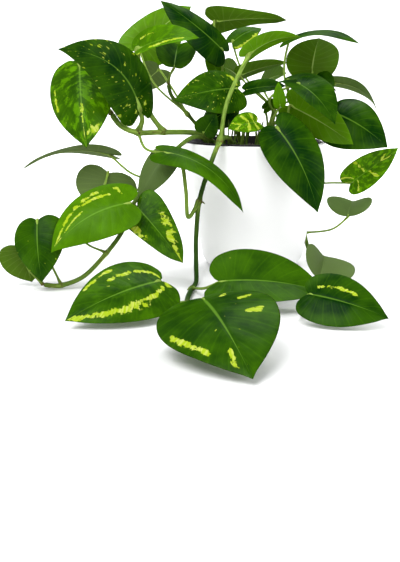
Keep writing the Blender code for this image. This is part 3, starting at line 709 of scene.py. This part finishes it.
def blade_shape(leaf, number):
    """The two sides of a blade as one closed grid, in millimetres, with its attributes.

    Row u of the blade starts on the midrib at share u to the power 2.3 and runs out, bending
    forward, to the outline. Lengthwise the blade follows notch + reach s + (face bow + side
    sway) 4 s (1 - s). Sideways it leaves the midrib at the fold angle and turns on by the curl
    angle. It rises between side veins as |sin| of the vein count times u, and its edge waves
    as a sine along u. The upper side is pressed in along the midrib and the lower one stands out.
    """
    look = settings("leaf")
    looks = LOOKS[number]
    notch, reach, face, side = leaf_axes(leaf)
    u = np.linspace(0, 1, BLADE_ROWS)[:, None]
    even = np.linspace(-1, 1, BLADE_COLUMNS)[None, :]
    # Columns crowd towards the edge, where the blade thins and turns.
    v = 0.55 * np.sin(even * np.pi / 2) + 0.45 * even
    size = np.abs(v)
    edge = smooth_path(HALF_OUTLINE, BLADE_ROWS)
    drawn_in = np.sin(np.pi * np.clip((u - 0.25) / 0.75, 0, 1)) ** 1.2
    breadth = edge[:, 1:] * (1 - looks.taper * drawn_in)
    # One half is up to a twentieth wider than it would be, and the other as much narrower.
    lean = 1 + 0.05 * np.sin(number * 2.1) * np.sign(v)
    share = edge[:, :1] + (u**2.3 - edge[:, :1]) * (1 - size**1.3)
    across = breadth * v * leaf.width / 2 * lean
    bend = 4 * (leaf.bow * face + leaf.sway * side)
    spine = notch + share[..., None] * reach + (share * (1 - share))[..., None] * bend
    ahead = unit(reach + (1 - 2 * share)[..., None] * bend)
    upward = unit(np.cross(side, ahead))
    outward = np.cross(ahead, upward)
    soft = across**2 / (np.abs(across) + CREASE)
    angle = np.radians(leaf.fold + leaf.curl * size)
    scale = np.linalg.norm(reach) / USUAL_LENGTH
    veins = look.veins * (u * np.ones_like(v))
    # The rise between side veins fades at the midrib, the edge, the notch and the tip.
    between = np.abs(np.sin(np.pi * veins)) ** 0.8 * np.clip((1 - u) / 0.1, 0, 1)
    ring = np.sin(np.pi * np.clip(size, 0, 1)) ** 0.6 * np.sin(np.pi * u) ** 0.5
    puff = look.quilt / MM * scale * between * ring
    phase = 2 * np.pi * (1.9 * u + 0.37 * number) + 1.3 * np.sign(v)
    ruffle = looks.wave * scale * size**2.5 * np.sin(phase) * np.sin(np.pi * u)
    lift = soft * np.sin(angle) + ruffle
    middle = spine + (across * np.cos(angle))[..., None] * outward + lift[..., None] * upward
    normal = unit(np.cos(angle)[..., None] * upward - (np.sign(v) * np.sin(angle))[..., None] * outward)
    half = look.thickness / MM / 2 * np.sqrt(np.clip(1 - size**4, 0, 1)) * np.sin(np.pi * u) ** 0.2
    half = np.where((u <= 0) | (u >= 1) | (size >= 1), 0, half)
    rib = bell(across, RIB_WIDTH) * np.sin(np.pi * u) ** 0.5
    fade = 1 - 0.7 * np.clip(share, 0, 1)
    top = middle + (half + puff - RIB_DIP * rib)[..., None] * normal
    under = middle + (-half + puff - RIB_RISE * rib * fade)[..., None] * normal
    count = BLADE_ROWS * BLADE_COLUMNS
    points = np.concatenate([top.reshape(-1, 3), under.reshape(-1, 3)])
    quads = grid_quads(BLADE_ROWS, BLADE_COLUMNS, wrap=False)
    faces = np.concatenate([quads, quads[:, ::-1] + count])
    place = np.stack([veins, v * np.ones_like(u), np.full_like(veins, number)], -1).reshape(-1, 3)
    marks = blade_marks(looks, u, v).reshape(-1, 3)
    attributes = {
        "vein_place": np.concatenate([place, place]),
        "marks": np.concatenate([marks, marks]),
        "upper": np.concatenate([np.ones(count), np.zeros(count)]),
        "light": np.full(2 * count, looks.light),
        # The share of painted sheen, a greyish tint in place of reflected light.
        "grey": np.full(2 * count, looks.grey),
    }
    return points, faces, attributes


def tube_shape(path, radii, sides=14, flatten=1.0):
    """A closed tube: the profile is a circle of the radius at each point of the path, carried
    square to it. The side direction is turned only as far as the path turns. Flatten narrows
    the circle one way. The ends close on the axis."""
    ahead = unit(np.gradient(path, axis=0))
    across = np.zeros_like(path)
    start = np.cross(ahead[0], (0, 0, 1) if abs(ahead[0][2]) < 0.9 else (0, 1, 0))
    across[0] = unit(start)
    for i in range(1, len(path)):
        across[i] = unit(across[i - 1] - ahead[i] * (across[i - 1] @ ahead[i]))
    third = np.cross(ahead, across)
    turn = np.linspace(0, 2 * np.pi, sides, endpoint=False)
    cosine, sine = np.cos(turn)[:, None], np.sin(turn)[:, None]
    circle = cosine * across[:, None] + flatten * sine * third[:, None]
    rings = path[:, None] + np.asarray(radii)[:, None, None] * circle
    points = np.concatenate([path[:1], rings.reshape(-1, 3), path[-1:]])
    quads = grid_quads(len(path), sides, wrap=True) + 1
    first = np.arange(sides)
    last = 1 + (len(path) - 1) * sides
    after = (first + 1) % sides
    fan = np.stack([np.zeros(sides, int), after + 1, first + 1], -1)
    close = np.stack([np.full(sides, len(points) - 1), last + first, last + after], -1)
    return points, quads, fan, close


class Bundle:
    """Collects closed tubes into one mesh. 'pale' and 'brown' hold for a whole ring, 'top' is
    how far a point looks up, and 'grain' is a place in a space that is stretched along the tube."""

    def __init__(self):
        self.points, self.faces, self.count = [], [], 0
        self.values = {"pale": [], "brown": [], "top": [], "grain": []}

    def tube(self, path, radii, pale, brown, sides=14, flatten=1.0):
        points, quads, *fans = tube_shape(path, radii, sides, flatten)
        for part in (quads, *fans):
            self.faces.extend((part + self.count).tolist())
        self.points.append(points)
        out = unit(points[1:-1].reshape(len(path), sides, 3) - path[:, None])
        turn = np.tile(np.linspace(0, 2 * np.pi, sides, endpoint=False), (len(path), 1))
        run = np.linalg.norm(np.diff(path, axis=0, prepend=path[:1]), axis=1).cumsum() + self.count
        grain = np.stack([np.cos(turn), np.sin(turn), np.repeat(run[:, None] / 14, sides, 1)], -1)
        rings = {
            "pale": np.repeat(np.broadcast_to(pale, len(path)), sides),
            "brown": np.repeat(np.broadcast_to(brown, len(path)), sides),
            "top": out[..., 2].ravel(),
            "grain": grain.reshape(-1, 3),
        }
        for title, ring in rings.items():
            self.values[title].append(np.concatenate([ring[:1], ring, ring[-1:]]))
        self.count += len(points)

    def piece(self, name, material):
        values = {title: np.concatenate(rings) for title, rings in self.values.items()}
        points = np.concatenate(self.points) * MM
        return mesh_piece(name, points, self.faces, material, values, merge=False)


def stalk_path(leaf):
    """The stalk's own points, the seat under the notch, then a run along the midrib's back."""
    notch, reach, face, side = leaf_axes(leaf)
    bend = 4 * (leaf.bow * face + leaf.sway * side)
    run = [notch + s * reach + s * (1 - s) * bend - RIB_RISE * face for s in (0.07, 0.16)]
    return [*[np.array(p, float) for p in leaf.route], notch - SEAT * 0.75 * face, *run]


def add_stalk(bundle, leaf, number):
    """A leaf stalk: a clasping foot, a slim shaft, a swollen knee and a fading end. The foot and
    the knee are bell curves exp(-(d/w)^2) on the radius, where d is the distance along it."""
    path, run = even_path(stalk_path(leaf), 0.9)
    total = run[-1]
    reach = np.linalg.norm(np.subtract(leaf.tip, leaf.notch))
    knee = total - 0.16 * reach - 2.5
    swell = 0.75 * bell(run, 4.5) + 0.28 * bell(run - knee, 3.2)
    radii = STALK_RADIUS * STOUT.get(number, 1.0) * (1 + swell)
    radii = radii * np.clip((total - run) / (0.15 * reach), 0.02, 1) ** 0.7
    pale = 0.55 + 0.45 * np.clip(run / total, 0, 1)
    brown = 0.9 * bell(run, 2.2) + 0.35 * bell(run - knee, 1.6)
    bundle.tube(path, radii, pale, brown, sides=12, flatten=0.9)


def add_sheath(bundle, place, ahead, away, radius, length):
    """A dry leaf sheath: a sleeve on the stem that narrows to a free point."""
    t = np.linspace(0, 1, 12)[:, None]
    path = place + ahead * length * t + away * (0.5 + 1.1 * t**2)
    bundle.tube(path, radius * (1.12 - t[:, 0]) ** 0.6, 0.9, 0.15 + 0.6 * t[:, 0], sides=12, flatten=0.7)


def add_root(bundle, place, way, length, thickness):
    """An aerial root: a short brown peg with a blunt tip."""
    t = np.linspace(0, 1, 9)[:, None]
    path = place + way * length * t + np.array((0, 0, -1.0)) * length * 0.35 * t**2
    bundle.tube(path, thickness * np.sqrt(np.clip(1.02 - t[:, 0] ** 3, 0, 1)), 0.2, 1.0, sides=8)


def stem_piece(name, material):
    """One stem: a tube that swells into a ringed node at each stalk, with the stalks on it."""
    radius, route = STEMS[name]
    bundle = Bundle()
    path, run = even_path(route, 1.0)
    radii = np.full(len(path), radius)
    brown = np.zeros(len(path))
    crown, further = PALE.get(name, (0.2, 0.2))
    pale = further + (crown - further) * bell(run, CROWN_REACH) + 0.05 * ripple(path, 60, 5)
    leaves = [leaf for leaf in LEAVES if leaf.stem == name]
    vine = name.startswith("vine")
    for number, leaf in enumerate(leaves):
        root = np.array(leaf.route[0], float)
        near = np.argmin(np.linalg.norm(path - root, axis=1))
        gap = run - run[near]
        radii += radius * (0.22 * bell(gap, 2.6) + 0.10 * bell(gap + 1.2, 0.6))
        brown = np.maximum(brown, 0.6 * bell(gap + 1.0, 0.7))
        pale = pale + 0.45 * bell(gap - 5, 6.0)
        if vine and 3 < near < len(path) - 4:
            ahead = unit(path[near + 3] - path[near - 3])
            away = unit(np.cross(ahead, (0.3, 0.2, 1.0)) * (1 if number % 2 else -1))
            add_sheath(bundle, path[near] + away * radius * 0.5, ahead, away, radius * 0.75, 11)
            if path[near, 2] > 8:
                add_root(bundle, path[near] - away * radius * 0.6, -away, 4.5, 0.8)
    radii *= np.clip((run[-1] - run) / 2.5, 0.05, 1) ** 0.5
    bundle.tube(path, radii, np.clip(pale, 0, 1), brown, sides=18)
    for leaf in leaves:
        add_stalk(bundle, leaf, LEAVES.index(leaf) + 1)
    return bundle.piece(name + "_skin", material)


def lathe(profile, sides):
    """A profile of (radius, height) points turned about the Z axis. Points on the axis close it."""
    profile = np.asarray(profile, float)
    turn = np.linspace(0, 2 * np.pi, sides, endpoint=False)
    circle = np.stack([np.cos(turn), np.sin(turn)], -1)
    ring = profile[:, None, :1] * circle[None]
    height = np.broadcast_to(profile[:, None, 1:], (len(profile), sides, 1))
    return np.concatenate([ring, height], -1).reshape(-1, 3), grid_quads(len(profile), sides, wrap=True)


def rounded(points, radius, steps=6):
    """The outline with each inner corner turned into a quadratic arc that starts and ends one
    radius (or less, on a short side) from it."""
    points = np.asarray(points, float)
    result = [points[0]]
    for before, corner, after in zip(points[:-2], points[1:-1], points[2:]):
        back, on = before - corner, after - corner
        first = corner + back * min(radius / np.linalg.norm(back), 0.45)
        last = corner + on * min(radius / np.linalg.norm(on), 0.45)
        t = np.linspace(0, 1, steps)[:, None]
        result.extend((1 - t) ** 2 * first + 2 * t * (1 - t) * corner + t**2 * last)
    result.append(points[-1])
    return np.array(result)


class POTHOS_OT_pot(Operator):
    """Cover pot: a smooth tapered wall, a thin soft rim and a round lower corner"""

    bl_idname = "pothos.pot"
    bl_label = "Cover pot"

    def execute(self, context):
        look = settings("pot")
        top, rim = look.height / MM, look.rim_radius / MM
        inner_rim, inner_foot = rim - POT_WALL, POT_FOOT - POT_WALL
        under_lip = top - POT_LIP_DEPTH
        outer_lip = (rim - POT_LIP_SLOPE, under_lip)
        sweep = np.radians(np.linspace(0, -90, 24))
        corner = np.stack([np.cos(sweep) - 1, np.sin(sweep) + 1], -1) * POT_CORNER + (POT_FOOT, 0)
        lip = rounded([(inner_rim, under_lip), (inner_rim, top), (rim, top), outer_lip], POT_LIP_ROUND, 7)
        outer = np.linspace(outer_lip, (POT_FOOT, POT_CORNER), 28)[1:-1]
        floor = [(0, POT_WALL), (inner_foot - 4, POT_WALL), (inner_foot, POT_WALL + 8)]
        hollow = rounded([*floor, (inner_rim, under_lip)], 6)
        profile = np.concatenate([lip, outer, corner, [(0, 0)], hollow])
        points, faces = lathe(profile, POT_SIDES)
        piece = mesh_piece("cover_pot_body", points * MM, faces, pot_material())
        stand_for(piece, "cover_pot")
        return {"FINISHED"}


class POTHOS_OT_nursery_pot(Operator):
    """Nursery pot: thin black wall with a rolled lip just above the cover pot's rim"""

    bl_idname = "pothos.nursery_pot"
    bl_label = "Nursery pot"

    def execute(self, context):
        foot, inner_foot = NURSERY_FOOT, NURSERY_FOOT - NURSERY_WALL
        low, floor, shoulder = NURSERY_LOW, NURSERY_LOW + NURSERY_WALL, NURSERY_LOW + NURSERY_CORNER
        lip, under_lip = NURSERY_TOP + NURSERY_LIP, NURSERY_HIGH - NURSERY_LIP_HEIGHT
        outline = [
            (0, floor), (inner_foot - NURSERY_CORNER, floor), (inner_foot, shoulder),
            (NURSERY_TOP - NURSERY_WALL, NURSERY_HIGH), (lip, NURSERY_HIGH), (lip, under_lip),
            (NURSERY_TOP, under_lip - 1), (foot, shoulder), (foot - NURSERY_CORNER, low), (0, low),
        ]
        points, faces = lathe(rounded(outline, NURSERY_ROUND, 5), NURSERY_SIDES)
        piece = mesh_piece("nursery_pot_body", points * MM, faces, nursery_material())
        stand_for(piece, "nursery_pot")
        return {"FINISHED"}


class POTHOS_OT_soil(Operator):
    """Potting soil: an uneven crust over a plain body, with loose grains on it"""

    bl_idname = "pothos.soil"
    bl_label = "Potting soil"

    def execute(self, context):
        edge, _, top = np.array(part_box("potting_soil")[1]) / MM
        ring = np.linspace(0, 1, 70)
        crown = np.stack([ring * edge, top - SOIL_DOME * ring**2], -1)
        points, faces = lathe(np.concatenate([crown, SOIL_FOOT]), SOIL_SIDES)
        radius = np.linalg.norm(points[:, :2], axis=1)
        crust = np.clip((edge - radius) / 4, 0, 1) * (points[:, 2] > top - 2 * SOIL_DOME)
        points[:, 2] += crust * (0.9 * ripple(points, 9, 1) + 0.5 * ripple(points, 3.5, 2) - 0.4)
        material = soil_material()
        piece = mesh_piece("potting_soil_body", points * MM, faces, material)
        stand_for(piece, "potting_soil")
        ride_along(self.grains(edge, top, material))
        return {"FINISHED"}

    def grains(self, edge, top, material):
        """Small lumps: octahedra with each corner at its own distance, laid on the crust."""
        draw = np.random.default_rng(11)
        count = settings("soil").grains
        away = (edge - 3) * np.sqrt(draw.uniform(0, 1, count))
        turn = draw.uniform(0, 2 * np.pi, count)
        height = top - SOIL_DOME * (away / edge) ** 2
        centre = np.stack([away * np.cos(turn), away * np.sin(turn), height], -1)
        corners = np.array([(1, 0, 0), (-1, 0, 0), (0, 1, 0), (0, -1, 0), (0, 0, 1), (0, 0, -1)], float)
        size = draw.uniform(0.7, 2.0, (count, 1, 1)) * draw.uniform(0.6, 1.2, (count, 6, 1))
        points = centre[:, None] + corners * size
        sides = [(0, 2, 4), (2, 1, 4), (1, 3, 4), (3, 0, 4), (2, 0, 5), (1, 2, 5), (3, 1, 5), (0, 3, 5)]
        faces = (np.arange(count)[:, None, None] * len(corners) + np.array(sides)).reshape(-1, 3)
        return mesh_piece("soil_grains", points.reshape(-1, 3) * MM, faces, material, merge=False)


class POTHOS_OT_stems(Operator):
    """Vines and crown stems with nodes, sheaths, aerial roots and leaf stalks"""

    bl_idname = "pothos.stems"
    bl_label = "Vines and stems"

    def execute(self, context):
        material = stem_material()
        for name in STEMS:
            stand_for(stem_piece(name, material), name)
        return {"FINISHED"}


class POTHOS_OT_shoots(Operator):
    """Thin shoots and old leaf stalks that stand in the soil between the stems"""

    bl_idname = "pothos.shoots"
    bl_label = "Crown shoots"

    def execute(self, context):
        draw = np.random.default_rng(4)
        bundle = Bundle()
        for _ in range(settings("stem").shoots):
            foot = np.array((draw.uniform(-34, 34), draw.uniform(-52, -8), 113.0))
            lean = np.array((draw.uniform(-6, 6), draw.uniform(-2, 6), draw.uniform(14, 30)))
            t = np.linspace(0, 1, 24)[:, None]
            path = foot + lean * t + np.array((draw.uniform(-3, 3), 0, 0)) * t * (1 - t)
            share = t[:, 0]
            blunt = np.clip((1 - share) / 0.06, 0.1, 1) ** 0.5
            radii = draw.uniform(0.7, 1.3) * (1 - 0.45 * share) * blunt
            pale = draw.choice([0.1, 0.35, 0.8])
            brown = np.clip(1 - share * 7, 0, 1) + 0.5 * (share > 0.93)
            bundle.tube(path, radii, pale, brown, sides=10)
        ride_along(bundle.piece("crown_shoots", stem_material()))
        return {"FINISHED"}


class POTHOS_OT_leaves(Operator):
    """Leaf blades with midrib, quilted side veins, waved edges and yellow streaks"""

    bl_idname = "pothos.leaves"
    bl_label = "Leaves"

    def execute(self, context):
        material = leaf_material()
        for number, leaf in enumerate(LEAVES, 1):
            node = f"leaf_{number:02d}"
            points, faces, attributes = blade_shape(leaf, number)
            piece = mesh_piece(node + "_blade", points * MM, faces, material, attributes)
            stand_for(piece, node)
        return {"FINISHED"}


class POTHOS_OT_stage(Operator):
    """Pale sweep of floor and wall, four softboxes, a pale surround and the camera"""

    bl_idname = "pothos.stage"
    bl_label = "Stage, light and camera"

    def execute(self, context):
        scene = context.scene
        self.floor()
        power = settings("stage").light_power
        self.softbox("key_light", (-0.7, -1.1, 1.5), 1.2, power, PLANT)
        self.softbox("fill_light", (0.9, -1.3, 0.8), 1.0, power * 0.32, PLANT)
        self.softbox("rim_light", (0.3, 1.0, 1.6), 1.0, power * 0.4, PLANT)
        self.softbox("wall_light", (0.0, 0.9, 1.9), 1.6, power * 3.0, WALL)
        world = bpy.data.worlds.new("pale_surround")
        world.use_nodes = True
        world.node_tree.nodes["Background"].inputs[0].default_value = (0.95, 0.97, 1.0, 1)
        world.node_tree.nodes["Background"].inputs[1].default_value = 0.5
        scene.world = world
        scene.view_settings.view_transform = "Standard"
        lens = bpy.data.cameras.new("camera")
        lens.sensor_fit = "HORIZONTAL"
        lens.sensor_width = CAMERA_SENSOR
        lens.lens = CAMERA_LENS
        camera = bpy.data.objects.new("camera", lens)
        camera.location = CAMERA_PLACE
        camera.rotation_euler = (np.radians(90 - CAMERA_DIP), 0, 0)
        scene.collection.objects.link(camera)
        scene.camera = camera
        return {"FINISHED"}

    def floor(self):
        """A floor that sweeps up into a wall all round: a flat disc, then a quarter circle."""
        shader = Shader("pale_floor")
        cloud = shader.noise(3, 2)
        pale = settings("stage").floor_colour
        shader.finish("Base Color", shader.mix(cloud, pale, [c * 0.985 for c in pale]))
        shader.finish("Roughness", 0.9)
        sweep = np.radians(np.linspace(0, 90, 24))
        curve = np.stack([np.sin(sweep), 1 - np.cos(sweep)], -1) * FLOOR_SWEEP + (FLOOR_FLAT, 0)
        points, faces = lathe(np.concatenate([[(0, 0)], [(1, 0)], curve]), 96)
        floor = mesh_piece("floor", points, faces, shader.material)

    def softbox(self, name, place, size, power, target):
        """A square area light at the place, turned so that it looks at the target."""
        lamp = bpy.data.lights.new(name, "AREA")
        lamp.shape = "SQUARE"
        lamp.size = size
        lamp.energy = power
        light = bpy.data.objects.new(name, lamp)
        light.location = place
        way = target - np.array(place)
        flat = np.hypot(way[0], way[1])
        light.rotation_euler = (np.arctan2(flat, -way[2]), 0, np.arctan2(-way[0], way[1]))
        bpy.context.scene.collection.objects.link(light)


OPERATORS = (
    POTHOS_OT_pot, POTHOS_OT_nursery_pot, POTHOS_OT_soil, POTHOS_OT_stems, POTHOS_OT_shoots,
    POTHOS_OT_leaves, POTHOS_OT_stage,
)
SETTINGS = {
    "pot": PotSettings, "leaf": LeafSettings, "stem": StemSettings, "soil": SoilSettings,
    "stage": StageSettings,
}


class POTHOS_PT_panel(Panel):
    """Lists the plant's settings and the button of each piece"""

    bl_idname = "POTHOS_PT_panel"
    bl_label = "Potted pothos"
    bl_space_type = "VIEW_3D"
    bl_region_type = "UI"
    bl_category = "Pothos"

    def draw(self, context):
        for operator in OPERATORS:
            self.layout.operator(operator.bl_idname)
        for name, group in SETTINGS.items():
            box = self.layout.box()
            box.label(text=name.capitalize())
            for prop in group.__annotations__:
                box.prop(getattr(context.scene, "pothos_" + name), prop)


def register():
    for name, group in SETTINGS.items():
        bpy.utils.register_class(group)
        setattr(bpy.types.Scene, "pothos_" + name, PointerProperty(type=group))
    for item in (*OPERATORS, POTHOS_PT_panel):
        bpy.utils.register_class(item)


def unregister():
    for item in (POTHOS_PT_panel, *reversed(OPERATORS)):
        bpy.utils.unregister_class(item)
    for name, group in SETTINGS.items():
        delattr(bpy.types.Scene, "pothos_" + name)
        bpy.utils.unregister_class(group)


def main():
    register()
    bpy.ops.pothos.pot()
    bpy.ops.pothos.nursery_pot()
    bpy.ops.pothos.soil()
    bpy.ops.pothos.stems()
    bpy.ops.pothos.shoots()
    bpy.ops.pothos.leaves()
    bpy.ops.pothos.stage()


if __name__ == "__main__":
    main()
